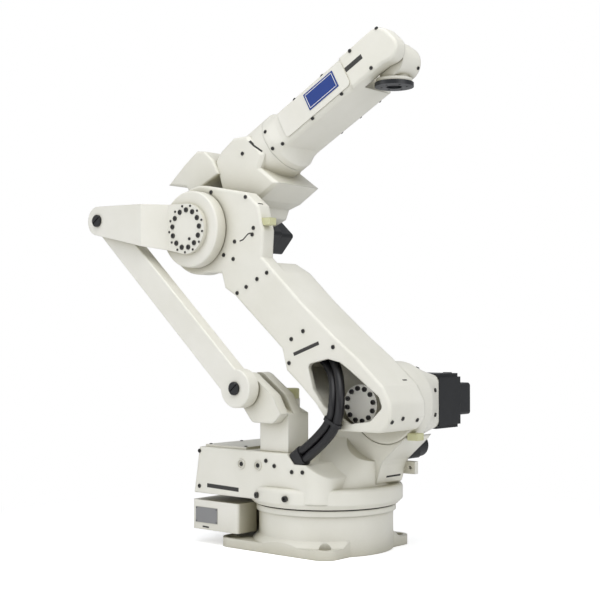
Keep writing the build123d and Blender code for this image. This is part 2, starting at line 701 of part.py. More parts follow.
# Tie round the hoses where they pass the lower arm
tie_ring = pair_section(running_gap + tie_wall) - pair_section(running_gap)
tie = pair_plane(4, 5, 0.5) * Pos(0, 0, -tie_width / 2) * extrude(tie_ring, amount=tie_width)
save(tie, "hose_tie")

# Clip that holds the hoses to the far wall inside the lower arm
clip_end = pair_route[-1]
clip_dx = clip_end[0] - pair_route[-2][0]
clip_dz = clip_end[2] - pair_route[-2][2]
clip_run = (clip_dx ** 2 + clip_dz ** 2) ** 0.5
clip_half = hose_pitch / 2 + hose_radius + clip_wall
corners = []
for side, length in ((-1, 0), (1, 0), (1, clip_length), (-1, clip_length)):
    corners.append((clip_end[0] + (length * clip_dx - side * clip_half * clip_dz) / clip_run,
                    clip_end[2] + (length * clip_dz + side * clip_half * clip_dx) / clip_run))
save(slab(Polygon(*corners, align=None), clip_end[1] - hose_radius - clip_wall,
          -arm_near + arm_thick - arm_far_wall), "hose_clip")
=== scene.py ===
import json
import math

import bmesh
import bpy
from mathutils import Matrix, Vector
from mathutils.bvhtree import BVHTree


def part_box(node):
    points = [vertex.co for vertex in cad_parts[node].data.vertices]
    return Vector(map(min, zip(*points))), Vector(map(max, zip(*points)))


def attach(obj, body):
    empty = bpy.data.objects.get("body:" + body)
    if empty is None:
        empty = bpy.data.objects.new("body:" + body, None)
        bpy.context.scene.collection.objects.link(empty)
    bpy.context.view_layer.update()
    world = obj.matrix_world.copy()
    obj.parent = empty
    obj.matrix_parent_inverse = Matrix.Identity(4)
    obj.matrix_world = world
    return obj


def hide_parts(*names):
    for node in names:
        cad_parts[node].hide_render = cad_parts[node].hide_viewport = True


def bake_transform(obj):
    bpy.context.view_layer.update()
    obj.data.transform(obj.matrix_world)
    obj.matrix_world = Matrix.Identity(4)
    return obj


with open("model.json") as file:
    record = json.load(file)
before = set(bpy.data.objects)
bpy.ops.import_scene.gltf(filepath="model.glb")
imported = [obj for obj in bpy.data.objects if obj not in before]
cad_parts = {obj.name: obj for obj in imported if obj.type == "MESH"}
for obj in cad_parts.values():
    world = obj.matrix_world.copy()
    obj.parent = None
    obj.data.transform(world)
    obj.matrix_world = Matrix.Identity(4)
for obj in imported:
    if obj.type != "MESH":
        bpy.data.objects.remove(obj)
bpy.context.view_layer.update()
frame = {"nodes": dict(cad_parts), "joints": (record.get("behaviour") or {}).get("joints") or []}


# Camera: a long lens at knee height, turned to the machine's link side and front.
# Its place was fitted to the photograph, and the lens is given for a square picture.
def put(name, data):
    """A new object of the scene, at the origin."""
    thing = bpy.data.objects.new(name, data)
    bpy.context.collection.objects.link(thing)
    return thing


camera_data = bpy.data.cameras.new("camera")
camera_data.sensor_width = 36.0
camera_data.lens = 72.06
camera_data.clip_end = 60.0
camera = put("camera", camera_data)
heading, tilt = math.radians(40.03), math.radians(1.74)
looking = Vector((-math.sin(heading) * math.cos(tilt), math.cos(heading) * math.cos(tilt), math.sin(tilt)))
camera.location = (2.470, -3.073, 0.682)
camera.rotation_euler = looking.to_track_quat("-Z", "Y").to_euler()
bpy.context.scene.camera = camera
bpy.context.scene.view_settings.view_transform = "Standard"


# Studio: a white room. The floor is matt white paint that takes the machine's shadow close by,
# and fades to plain white for the camera further out, so that no horizon shows.
def linear(hex_colour):
    """Six hex digits of an sRGB colour, turned to linear light."""
    channels = []
    for i in (0, 2, 4):
        value = int(hex_colour[i:i + 2], 16) / 255
        channels.append(value / 12.92 if value <= 0.04045 else ((value + 0.055) / 1.055) ** 2.4)
    return (*channels, 1.0)


def add(tree, kind, settings=(), values=(), links=()):
    """Adds one node with its settings, its sockets' values and the links into it."""
    node = tree.nodes.new(kind)
    for name, value in dict(settings).items():
        setattr(node, name, value)
    for socket, value in dict(values).items():
        node.inputs[socket].default_value = value
    for socket, source in dict(links).items():
        tree.links.new(source, node.inputs[socket])
    return node


def empty_material(name):
    """A material without nodes, and its tree."""
    material = bpy.data.materials.new(name)
    material.use_nodes = True
    material.node_tree.nodes.clear()
    return material, material.node_tree


plain_white = (1, 1, 1, 1)
world = bpy.data.worlds.new("white_room")
bpy.context.scene.world = world
world.use_nodes = True
world.node_tree.nodes.clear()
tree = world.node_tree
room_light = add(tree, "ShaderNodeBackground", values={"Color": linear("F2F4F8"), "Strength": 0.5})
room_seen = add(tree, "ShaderNodeBackground", values={"Color": plain_white, "Strength": 1.0})
eye = add(tree, "ShaderNodeLightPath")
mixed = add(tree, "ShaderNodeMixShader", links={
    0: eye.outputs["Is Camera Ray"], 1: room_light.outputs[0], 2: room_seen.outputs[0]})
add(tree, "ShaderNodeOutputWorld", links={"Surface": mixed.outputs[0]})

floor_mesh = bpy.data.meshes.new("studio_floor")
floor_mesh.from_pydata([(-9, -9, 0), (9, -9, 0), (9, 14, 0), (-9, 14, 0)], [], [(0, 1, 2, 3)])
studio_floor = put("studio_floor", floor_mesh)
floor_paint, tree = empty_material("matt_white_floor_paint")
matt = add(tree, "ShaderNodeBsdfDiffuse", values={"Color": linear("F4F4F4")})
glow = add(tree, "ShaderNodeEmission", values={"Color": plain_white, "Strength": 0.5})
white = add(tree, "ShaderNodeEmission", values={"Color": plain_white, "Strength": 1.0})
place = add(tree, "ShaderNodeTexCoord")
away = add(tree, "ShaderNodeVectorMath", {"operation": "LENGTH"}, links={0: place.outputs["Object"]})
fade = add(tree, "ShaderNodeMapRange", {"interpolation_type": "SMOOTHSTEP"},
           {"From Min": 0.3, "From Max": 1.5}, {"Value": away.outputs["Value"]})
eye = add(tree, "ShaderNodeLightPath")
seen_glow = add(tree, "ShaderNodeMixShader", links={0: eye.outputs["Is Camera Ray"], 2: glow.outputs[0]})
near_floor = add(tree, "ShaderNodeAddShader", links={0: matt.outputs[0], 1: seen_glow.outputs[0]})
seen_fade = add(tree, "ShaderNodeMath", {"operation": "MULTIPLY"},
                links={0: fade.outputs["Result"], 1: eye.outputs["Is Camera Ray"]})
whole_floor = add(tree, "ShaderNodeMixShader", links={
    0: seen_fade.outputs["Value"], 1: near_floor.outputs[0], 2: white.outputs[0]})
add(tree, "ShaderNodeOutputMaterial", links={"Surface": whole_floor.outputs[0]})
floor_mesh.materials.append(floor_paint)


# Lamps: four softboxes. The large one hangs over the machine, two stand in front and at the
# link side, and a weak low one lights the base. Each row ends with its width and its power.
for lamp_name, stand, aim, width_m, watts in (
        ("ceiling_softbox", (0.6, -1.2, 4.2), (0, 0, 0.6), 3.2, 78),
        ("front_softbox", (4.2, -0.6, 2.6), (0, 0, 0.8), 2.6, 48),
        ("side_softbox", (-2.6, -4.2, 2.2), (0, 0, 0.8), 2.6, 32),
        ("low_softbox", (0.4, -3.4, 0.7), (0, 0, 0.1), 1.6, 12)):
    lamp_data = bpy.data.lights.new(lamp_name, "AREA")
    lamp_data.size = width_m
    lamp_data.energy = watts
    lamp = put(lamp_name, lamp_data)
    lamp.location = stand
    lamp.rotation_euler = (Vector(aim) - Vector(stand)).to_track_quat("-Z", "Y").to_euler()


# Hoses: two extruded rubber cable hoses, 28 mm across, that leave a gland on the turret's deck,
# lean out past the lower arm's foot and go in through its window to a clip. They curve round
# where the arm turns on the turret, and their satin skin shows a soft highlight along them.
def dark_skin(name, colour, roughness, grain_mm, depth_mm, edge_mm):
    """Black rubber, nylon, enamel or oxide: one dark colour, a fine grain and a little uneven gloss.

    The grain is drawn coarser than the real one, which is too fine to show. The gloss drifts in
    patches about 70 mm across, as where hands and cloths have rubbed."""
    material, tree = empty_material(name)
    place = add(tree, "ShaderNodeTexCoord")
    grain = add(tree, "ShaderNodeTexNoise", values={"Scale": 1000 / grain_mm, "Detail": 3.0},
                links={"Vector": place.outputs["Object"]})
    wear = add(tree, "ShaderNodeTexNoise", values={"Scale": 14.0, "Detail": 4.0},
               links={"Vector": place.outputs["Object"]})
    rub = add(tree, "ShaderNodeMapRange", values={
        "From Min": 0.35, "From Max": 0.7, "To Min": roughness - 0.06, "To Max": roughness + 0.1},
        links={"Value": wear.outputs["Fac"]})
    edge = add(tree, "ShaderNodeBevel", {"samples": 4}, {"Radius": edge_mm / 1000})
    bump = add(tree, "ShaderNodeBump", values={"Strength": 0.35, "Distance": depth_mm / 1000},
               links={"Height": grain.outputs["Fac"], "Normal": edge.outputs["Normal"]})
    shader = add(tree, "ShaderNodeBsdfPrincipled", values={"Base Color": linear(colour), "IOR": 1.5},
                 links={"Roughness": rub.outputs[0], "Normal": bump.outputs["Normal"]})
    add(tree, "ShaderNodeOutputMaterial", links={"Surface": shader.outputs[0]})
    return material


def plain_mesh(thing):
    """The mesh that an object's curve or modifiers give."""
    view = bpy.context.evaluated_depsgraph_get()
    return bpy.data.meshes.new_from_object(thing.evaluated_get(view), depsgraph=view)


hose_rubber = dark_skin("extruded_hose_rubber", "111013", 0.38, 3.0, 0.15, 0.5)
hose_radius = 0.014
hose_pitch = 28.8           # mm between the middles of the two hoses
pair_route = [              # mm, the middle of the pair from the gland to the clip
    (84, -215, 315), (110, -219, 332), (141, -223, 353), (172, -229, 376), (203, -231, 406),
    (221, -231, 441), (225, -229, 477), (213, -212, 518), (190, -188, 558), (160, -166, 590),
    (126, -154, 619), (89, -154, 652)]
last = len(pair_route) - 1
for hose_name, side in (("hose_upper", -1), ("hose_lower", 1)):
    curve = bpy.data.curves.new("route_of_" + hose_name, "CURVE")
    curve.dimensions = "3D"
    curve.resolution_u = 10
    curve.use_fill_caps = True
    spline = curve.splines.new("NURBS")
    spline.points.add(last)
    for i, (x, y, z) in enumerate(pair_route):
        before = pair_route[last - 1 if i >= last - 1 else max(i - 1, 0)]
        after = pair_route[1 if i <= 1 else min(i + 1, last)]
        ahead, up = after[0] - before[0], after[2] - before[2]
        apart = side * hose_pitch / 2 / math.hypot(ahead, up)
        spline.points[i].co = ((x + apart * up) / 1000, y / 1000, (z - apart * ahead) / 1000, 1.0)
    spline.order_u = 3
    spline.use_endpoint_u = True
    route = put("route_of_" + hose_name, curve)
    line = [vertex.co.copy() for vertex in plain_mesh(route).vertices]
    curve.bevel_depth = hose_radius
    curve.bevel_resolution = 8
    tube = plain_mesh(route)
    bpy.data.objects.remove(route)
    tube.materials.clear()
    tube.materials.append(hose_rubber)
    tube.shade_smooth()
    tube.set_sharp_from_angle(angle=math.radians(40))
    hose = put("rubber_" + hose_name, tube)
    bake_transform(hose)
    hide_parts(hose_name)


# Gland, tie and inner clip of the hoses: moulded black nylon with a dull, finely sanded look.
# The gland is screwed into the deck, the tie is strapped round both hoses.
nodes = frame["nodes"]


def dress(material, *node_names):
    """Gives nodes of the model their finish."""
    for node_name in node_names:
        for material_slot in nodes[node_name].material_slots:
            material_slot.material = material


black_nylon = dark_skin("moulded_black_nylon", "1A1A1C", 0.5, 2.5, 0.1, 1.0)
dress(black_nylon, "hose_gland", "hose_tie", "hose_clip")


# Castings: sand-cast iron and aluminium under a thick cream-white two-pack enamel. The skin
# of the casting shows through the paint as a soft unevenness, and edges are broken by hand.
def cast_enamel(name, colour, shade, edge_mm, painted_shade_share=0.85):
    """Cream enamel on a cast skin: slow colour drift, painted shade in the hollows, orange peel.

    The colour drifts in patches about 170 mm across. Painted shade darkens it towards a yellow-grey
    where another surface is closer than 110 mm. The peel is drawn coarser than the real one, which is
    too fine to show."""
    skin_mm, peel_mm = 70.0, 9.0
    material, tree = empty_material(name)
    place = add(tree, "ShaderNodeTexCoord")
    drift = add(tree, "ShaderNodeTexNoise", values={"Scale": 6.0, "Detail": 4.0, "Roughness": 0.55},
                links={"Vector": place.outputs["Object"]})
    drift_range = add(tree, "ShaderNodeMapRange", values={"From Min": 0.3, "From Max": 0.7},
                      links={"Value": drift.outputs["Fac"]})
    base = add(tree, "ShaderNodeMix", {"data_type": "RGBA"},
               {"A": linear(shade), "B": linear(colour)}, {"Factor": drift_range.outputs[0]})
    # Painted shade: near other surfaces the colour is multiplied towards a yellow-grey, for the shade in
    # hollows.
    hollow = add(tree, "ShaderNodeAmbientOcclusion", {"samples": 6}, {"Distance": 0.11})
    painted_shade_mask = add(tree, "ShaderNodeMapRange", values={
        "From Min": 0.15, "From Max": 0.9, "To Min": 0.0, "To Max": 1.0},
        links={"Value": hollow.outputs["AO"]})
    painted_shade_colour = add(tree, "ShaderNodeMix", {"data_type": "RGBA"},
                       {"A": linear("A59F83"), "B": plain_white}, {"Factor": painted_shade_mask.outputs[0]})
    painted_shade_applied = add(tree, "ShaderNodeMix", {"data_type": "RGBA", "blend_type": "MULTIPLY"}, {"Factor": painted_shade_share},
                 {"A": base.outputs["Result"], "B": painted_shade_colour.outputs["Result"]})
    peel = add(tree, "ShaderNodeTexNoise", values={"Scale": 1000 / peel_mm, "Detail": 2.0},
               links={"Vector": place.outputs["Object"]})
    cast_skin = add(tree, "ShaderNodeTexNoise", values={"Scale": 1000 / skin_mm, "Detail": 3.0},
                    links={"Vector": place.outputs["Object"]})
    edge = add(tree, "ShaderNodeBevel", {"samples": 6}, {"Radius": edge_mm / 1000})
    wavy = add(tree, "ShaderNodeBump", values={"Strength": 0.3, "Distance": 0.003},
               links={"Height": cast_skin.outputs["Fac"], "Normal": edge.outputs["Normal"]})
    bump = add(tree, "ShaderNodeBump", values={"Strength": 0.12, "Distance": 0.0006},
               links={"Height": peel.outputs["Fac"], "Normal": wavy.outputs["Normal"]})
    gloss = add(tree, "ShaderNodeMapRange", values={"To Min": 0.36, "To Max": 0.5},
                links={"Value": drift.outputs["Fac"]})
    shader = add(tree, "ShaderNodeBsdfPrincipled", values={"IOR": 1.5},
                 links={"Base Color": painted_shade_applied.outputs["Result"], "Roughness": gloss.outputs[0],
                        "Normal": bump.outputs["Normal"]})
    add(tree, "ShaderNodeOutputMaterial", links={"Surface": shader.outputs[0]})
    return material


iron_enamel = cast_enamel("enamel_on_cast_iron", "E8E6DC", "E1DFD3", 8.0)
dress(iron_enamel, "base_casting", "turret_casting", "lower_arm", "forearm_housing", "forearm_tube",
      "wrist_block", "link_bracket", "j2_gear_housing")

# Machined parts: steel rod, lever, stops and reducer under the same enamel, with sharper edges.
# The drive's flange is painted a little lighter and takes almost none of the painted shade in hollows.
machined_enamel = cast_enamel("enamel_on_machined_steel", "EAE8DF", "E4E2D7", 4.0)
dress(machined_enamel, "link_rod", "link_lever", "stop_block", "stop_cup", "lifting_lug", "j3_reducer")
dress(cast_enamel("flange_enamel_little_painted_shade", "F0EEE6", "EBE9E0", 3.0, painted_shade_share=0.1), "j2_output_flange")

# Covers and boxes: folded sheet steel under the same enamel. Their edges are the sharpest, so
# they catch the thinnest line of light.
plate_enamel = cast_enamel("enamel_on_sheet_steel", "E8E6DD", "E2E0D5", 2.5)
dress(plate_enamel, "connector_box", "cable_box_lid", "side_cover")

# Servo motors: die-cast aluminium housings and end caps in a blue-black enamel, bolted to the
# gear housings. The enamel is satin, with a soft highlight on each edge.
motor_enamel = dark_skin("blue_black_motor_enamel", "0F1114", 0.42, 2.0, 0.1, 3.0)
dress(motor_enamel, "j1_motor", "j1_motor_cap", "j2_motor", "j2_motor_cap", "j3_motor", "j3_motor_cap",
      "j4_motor", "j5_motor", "j6_motor")

# Tool flange: a disc with a hard black anodised skin, smoother and glossier than the motors.
# It is bolted to the wrist's last gear.
dress(dark_skin("black_anodised_flange", "1B1D20", 0.35, 1.5, 0.05, 1.0), "tool_flange")


# Connector panel, power connector and nameplate: bare aluminium, brushed or die-cast, with the
# dull blurred shine of a worked metal. The signal connector's shell is moulded nylon.
def worked_metal(name, colour, roughness):
    """Bare metal with fine working marks, drawn 6 mm apart, coarser than real, so that they show."""
    material, tree = empty_material(name)
    place = add(tree, "ShaderNodeTexCoord")
    marks = add(tree, "ShaderNodeTexNoise", values={"Scale": 160.0, "Detail": 2.0},
                links={"Vector": place.outputs["Object"]})
    bump = add(tree, "ShaderNodeBump", values={"Strength": 0.2, "Distance": 0.0004},
               links={"Height": marks.outputs["Fac"]})
    shader = add(tree, "ShaderNodeBsdfPrincipled", values={
        "Base Color": linear(colour), "Metallic": 1.0, "Roughness": roughness},
        links={"Normal": bump.outputs["Normal"]})
    add(tree, "ShaderNodeOutputMaterial", links={"Surface": shader.outputs[0]})
    return material


dress(worked_metal("die_cast_connector_shell", "9A9A9C", 0.42), "power_connector")
dress(black_nylon, "signal_connector")
dress(worked_metal("brushed_panel_aluminium", "A8A8A8", 0.4), "connector_panel")
dress(worked_metal("brushed_nameplate", "9B9B9B", 0.45), "nameplate")

# Stop bumpers: cast polyurethane pads, pressed into their holders. The rubber is pale
# yellow-green and slightly waxy, so light sinks up to 10 mm into it.
polyurethane, tree = empty_material("cast_polyurethane")
place = add(tree, "ShaderNodeTexCoord")
cloud = add(tree, "ShaderNodeTexNoise", values={"Scale": 30.0, "Detail": 2.0},
            links={"Vector": place.outputs["Object"]})
tint = add(tree, "ShaderNodeMix", {"data_type": "RGBA"}, {"A": linear("C6C596"), "B": linear("D3D2AB")},
           {"Factor": cloud.outputs["Fac"]})
edge = add(tree, "ShaderNodeBevel", {"samples": 4}, {"Radius": 0.004})
shader = add(tree, "ShaderNodeBsdfPrincipled", values={
    "Roughness": 0.45, "IOR": 1.5, "Subsurface Weight": 0.2, "Subsurface Radius": (0.01, 0.01, 0.006)},
    links={"Base Color": tint.outputs["Result"], "Normal": edge.outputs["Normal"]})
add(tree, "ShaderNodeOutputMaterial", links={"Surface": shader.outputs[0]})
dress(polyurethane, "rear_bumper", "front_bumper", "elbow_bumper")

# Badge: an aluminium plate under blue enamel, fixed to the side cover and left bare.
# The enamel is even, with a faint cloudiness and a satin shine.
badge_blue, tree = empty_material("blue_badge_enamel")
place = add(tree, "ShaderNodeTexCoord")
cloud = add(tree, "ShaderNodeTexNoise", values={"Scale": 20.0}, links={"Vector": place.outputs["Object"]})
tint = add(tree, "ShaderNodeMix", {"data_type": "RGBA"}, {"A": linear("05307F"), "B": linear("083888")},
           {"Factor": cloud.outputs["Fac"]})
shader = add(tree, "ShaderNodeBsdfPrincipled", values={"Roughness": 0.42, "IOR": 1.45},
             links={"Base Color": tint.outputs["Result"]})
add(tree, "ShaderNodeOutputMaterial", links={"Surface": shader.outputs[0]})
dress(badge_blue, "badge_plate")


# Cap screws: blackened socket-head screws that hold the covers, reducers and castings together.
# One geometry tree turns each seat, a point with the way it faces, into a head with a hexagon
# socket. Seats are found on the surface of the casting that the screw goes into.
head_tree = bpy.data.node_groups.new("socket_heads", "GeometryNodeTree")
head_tree.interface.new_socket("Geometry", in_out="INPUT", socket_type="NodeSocketGeometry")
for socket_name in ("Head radius", "Head height", "Socket radius", "Socket depth"):
    head_tree.interface.new_socket(socket_name, in_out="INPUT", socket_type="NodeSocketFloat")
head_tree.interface.new_socket("Material", in_out="INPUT", socket_type="NodeSocketMaterial")
head_tree.interface.new_socket("Geometry", in_out="OUTPUT", socket_type="NodeSocketGeometry")
given = add(head_tree, "NodeGroupInput")
rim = add(head_tree, "GeometryNodeCurvePrimitiveCircle", values={"Resolution": 20},
          links={"Radius": given.outputs["Head radius"]})
hexagon = add(head_tree, "GeometryNodeCurvePrimitiveCircle", values={"Resolution": 6},
              links={"Radius": given.outputs["Socket radius"]})
outlines = add(head_tree, "GeometryNodeJoinGeometry")
for outline in (rim, hexagon):
    head_tree.links.new(outline.outputs["Curve"], outlines.inputs[0])
ring_face = add(head_tree, "GeometryNodeFillCurve", links={0: outlines.outputs[0]})
ring_head = add(head_tree, "GeometryNodeExtrudeMesh", values={"Individual": False},
                links={"Mesh": ring_face.outputs[0], "Offset Scale": given.outputs["Head height"]})
floor_level = add(head_tree, "ShaderNodeMath", {"operation": "SUBTRACT"},
                  links={0: given.outputs["Head height"], 1: given.outputs["Socket depth"]})
floor_place = add(head_tree, "ShaderNodeCombineXYZ", links={"Z": floor_level.outputs["Value"]})
floor_face = add(head_tree, "GeometryNodeFillCurve", links={0: hexagon.outputs["Curve"]})
socket_floor = add(head_tree, "GeometryNodeTransform", links={
    "Geometry": floor_face.outputs[0], "Translation": floor_place.outputs[0]})
whole_head = add(head_tree, "GeometryNodeJoinGeometry")
for part_of_head in (ring_head, socket_floor):
    head_tree.links.new(part_of_head.outputs[0], whole_head.inputs[0])
facing = add(head_tree, "GeometryNodeInputNamedAttribute", {"data_type": "FLOAT_VECTOR"}, {"Name": "facing"})
turned_head = add(head_tree, "FunctionNodeAlignRotationToVector", {"axis": "Z"},
                  links={"Vector": facing.outputs["Attribute"]})
set_heads = add(head_tree, "GeometryNodeInstanceOnPoints", links={
    "Points": given.outputs["Geometry"], "Instance": whole_head.outputs[0], "Rotation": turned_head.outputs[0]})
real_heads = add(head_tree, "GeometryNodeRealizeInstances", links={0: set_heads.outputs[0]})
dressed_heads = add(head_tree, "GeometryNodeSetMaterial", links={
    "Geometry": real_heads.outputs[0], "Material": given.outputs["Material"]})
add(head_tree, "NodeGroupOutput", links={"Geometry": dressed_heads.outputs[0]})

outside = 900               # mm from the turret's axis, clear of the machine on every side
from_near, from_far = (0, 1, 0), (0, -1, 0)
from_front, from_behind, from_above = (-1, 0, 0), (1, 0, 0), (0, 0, -1)
surfaces = {}


def seat(node_name, start, toward):
    """Where a straight line from a start in mm first meets a node, and the way its surface faces."""
    if node_name not in surfaces:
        mesh = nodes[node_name].data
        surfaces[node_name] = BVHTree.FromPolygons([v.co for v in mesh.vertices],
                                                   [p.vertices for p in mesh.polygons])
    place, normal, _, _ = surfaces[node_name].ray_cast(Vector(start) / 1000, Vector(toward))
    if place is None:
        raise ValueError(f"{node_name} has no surface before {tuple(start)}")
    return place, -normal if normal.dot(Vector(toward)) > 0 else normal


def near_seats(node_name, spots):
    """Seats on the near side of a node, from spots in mm ahead of the axis and above the floor."""
    return [seat(node_name, (x, -outside, z), from_near) for x, z in spots]


def far_seats(node_name, spots):
    """Seats on the far side of a node, from the same kind of spots."""
    return [seat(node_name, (x, outside, z), from_far) for x, z in spots]


def front_seats(node_name, spots):
    """Seats on the front of a node, from spots in mm to the far side and above the floor."""
    return [seat(node_name, (outside, y, z), from_front) for y, z in spots]


def around(middle, offsets):
    """Spots given as mm ahead of and above a middle in metres."""
    return [(middle.x * 1000 + ahead, middle.z * 1000 + up) for ahead, up in offsets]


def ring(count, radius, first_turn=0.0):
    """Offsets of a ring of screws; the first turn in degrees."""
    turns = [2 * math.pi * i / count + math.radians(first_turn) for i in range(count)]
    return [(radius * math.cos(turn), radius * math.sin(turn)) for turn in turns]


# Black oxide on steel: nearly black with a brown tinge, and a dull shine on the rims.
black_screw = dark_skin("black_oxide_screw", "262523", 0.4, 1.0, 0.05, 0.4)
cover_head, tube_head = (6.5, 2.5), (6, 2.5)    # mm, radius and how far the head stands proud


def screws(name, body, seats, head_radius, head_height, material=black_screw, slot="bare_steel"):
    """Screw heads on their seats, as one plain mesh that rides on a body; sizes in mm."""
    points = bpy.data.meshes.new(name + "_seats")
    points.from_pydata([place for place, normal in seats], [], [])
    directions = points.attributes.new("facing", "FLOAT_VECTOR", "POINT")
    for i, (place, normal) in enumerate(seats):
        directions.data[i].vector = normal
    carrier = put(name + "_seats", points)
    modifier = carrier.modifiers.new("socket_heads", "NODES")
    modifier.node_group = head_tree
    chosen = {"Head radius": head_radius / 1000, "Head height": head_height / 1000,
              "Socket radius": 0.5 * head_radius / 1000, "Socket depth": 0.8 * head_height / 1000,
              "Material": material}
    for item in head_tree.interface.items_tree:
        if item.name in chosen:
            modifier[item.identifier] = chosen[item.name]
    heads = plain_mesh(carrier)
    bpy.data.objects.remove(carrier)
    piece = put(name, heads)
    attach(piece, body)


# Screws of the elbow: two rings in the lever's hub clamp it to the reducer, big screws inside
# and small ones outside, with an oil plug beside them. A third ring holds the boss behind.
joint_places = {joint["name"]: Vector(joint["pos_m"]) for joint in frame["joints"]}
shoulder, elbow, wrist = (joint_places[name] for name in ("j2_lower_arm", "j3_forearm", "j5_wrist_bend"))
for name, offsets, head_radius, head_height in (
        ("elbow_reducer_screws", ring(13, 63, 5), 8.5, 3), ("elbow_cover_screws", ring(13, 78, 19), 3.8, 2),
        ("elbow_oil_plug", [(18, -34)], 5, 2.5)):
    screws(name, "link_lever", near_seats("link_lever", around(elbow, offsets)), head_radius, head_height)
screws("elbow_boss_screws", "forearm", far_seats("forearm_housing", around(elbow, ring(14, 122, 8))), 5, 4)

# Screws of the lower arm: cover screws and threaded plugs in its two faces, lifting points in
# the front of its foot, and the ring that clamps the arm to the drive's flange.
head_spots = [(212, 96), (247, -7), (242, -28), (164, -47), (115, -89), (158, -104)]
shank_spots = [(176, -216), (216, -197), (263, -173), (305, -154), (408, -366), (456, -341),
               (399, -441), (575, -390)]
shank_turn = math.radians(48.1)
shank_run = Vector((math.sin(shank_turn), 0, -math.cos(shank_turn)))
shank_across = Vector((math.cos(shank_turn), 0, math.sin(shank_turn)))
far_offsets = [along * shank_run + across * shank_across
               for across in (-36, 84) for along in (350, 420, 490, 560)]
screws("lower_arm_screws", "lower_arm",
       near_seats("lower_arm", around(elbow, head_spots + shank_spots)), *cover_head)
screws("arm_far_screws", "lower_arm",
       far_seats("lower_arm", around(elbow, [(offset.x, offset.z) for offset in far_offsets])), 5.5, 2.5)
screws("lower_arm_foot_screws", "lower_arm",
       front_seats("lower_arm", [(-190, 430), (-140, 438), (-60, 430)]), *cover_head)
screws("head_top_screw", "lower_arm", near_seats("lower_arm", [(-326, 1163)]), *cover_head)
screws("drive_flange_screws", "lower_arm",
       near_seats("j2_output_flange", around(shoulder, ring(12, 50, 10))), 7.5, 6)

# Screws of the turret: the deck's covers, the bracket's foot, the bolts of the ring, the drive's
# housing on the far side and the lid on top.
screws("deck_screws", "turret", near_seats("turret_casting", [
    (-352, 304), (-352, 188), (-58, 290), (-23, 276), (49, 262), (92, 264)]), *cover_head)
screws("ring_bolts", "turret", near_seats("turret_casting", [(-92, 180), (37, 180)]), 9.5, 8)
screws("drive_housing_screws", "turret",
       far_seats("j2_gear_housing", around(shoulder, ring(4, 112, 20) + ring(4, 112, -20))), 6.5, 5)


def corners(node_name):
    """The low and the high corner of a node's box, in mm."""
    return [Vector(corner) * 1000 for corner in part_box(node_name)]


lid_margin = 12
lid_low, lid_high = corners("cable_box_lid")
lid_spots = [(x, y) for x in (lid_low.x + lid_margin, lid_high.x - lid_margin)
             for y in (lid_low.y + lid_margin, (lid_low.y + lid_high.y) / 2, lid_high.y - lid_margin)]
screws("lid_screws", "turret",
       [seat("cable_box_lid", (x, y, outside), from_above) for x, y in lid_spots], 5, 2.5)

# Screws of the forearm: two rows on each side close the covers of the tube, two sit on its
# collar, and single ones hold the housing and the wrist with its cover.
tube_turn = math.radians(28.4)
tube_run = Vector((math.cos(tube_turn), 0, math.sin(tube_turn)))
tube_rise = Vector((-math.sin(tube_turn), 0, math.cos(tube_turn)))
row_rise = 49


def tube_seats(spots, side=near_seats):
    """Seats on the tube, from mm along it from the wrist axis and above its middle."""
    offsets = [along * tube_run + rise * tube_rise for along, rise in spots]
    return side("forearm_tube", around(wrist, [(offset.x, offset.z) for offset in offsets]))


screws("tube_screws", "forearm_tube", tube_seats(
    [(along, -row_rise) for along in (-461, -316, -181, -46)]
    + [(along, row_rise) for along in (-350, -219, -88, 28)]), *tube_head)
screws("tube_far_screws", "forearm_tube", tube_seats(
    [(along, rise) for rise in (-row_rise, row_rise) for along in (-350, -260, -170)], far_seats), *tube_head)
screws("collar_screws", "forearm_tube", tube_seats([(-500, 24), (-503, -40)]), *tube_head)
screws("housing_screws", "forearm", near_seats("forearm_housing", [(-272, 1298)]), *cover_head)
screws("wrist_screw", "wrist", front_seats("wrist_block", [(41, 1526)]), 5.5, 2.5)
wrist_cover = wrist + Vector((0.012, 0, -0.034))
screws("wrist_cover_screws", "wrist", far_seats("wrist_block", around(wrist_cover, ring(6, 29))), 3, 1.5)


# Seams, slots and stripes: flat bands laid on the castings. Slots and seams get dark bands of
# painted shade for the shadow in their gaps, and each place with a printed line has a plain dark
# stripe. Both are dull and dark.
def settle(mesh, name, body, material):
    """Turns a bmesh into a finished piece that rides on a body."""
    bmesh.ops.recalc_face_normals(mesh, faces=mesh.faces)
    data = bpy.data.meshes.new(name)
    mesh.to_mesh(data)
    mesh.free()
    data.materials.append(material)
    data.shade_smooth()
    data.set_sharp_from_angle(angle=math.radians(35))
    piece = put(name, data)
    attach(piece, body)
    return piece


def band(name, body, seats, width, height, material):
    """A band through its seats, a few tenths of a mm proud; width and height in mm."""
    mesh = bmesh.new()
    rows = []
    for i, (place, normal) in enumerate(seats):
        run = (seats[min(i + 1, len(seats) - 1)][0] - seats[max(i - 1, 0)][0]).normalized()
        side = normal.cross(run).normalized() * width / 2000
        top, low = place + normal * height / 1000, place - normal * height / 1000
        rows.append([mesh.verts.new(p) for p in (low - side, top - side, top + side, low + side)])
    for one, two in zip(rows, rows[1:]):
        for i in range(4):
            mesh.faces.new((one[i], one[(i + 1) % 4], two[(i + 1) % 4], two[i]))
    mesh.faces.new(rows[0])
    mesh.faces.new(list(reversed(rows[-1])))
    settle(mesh, name, body, material)
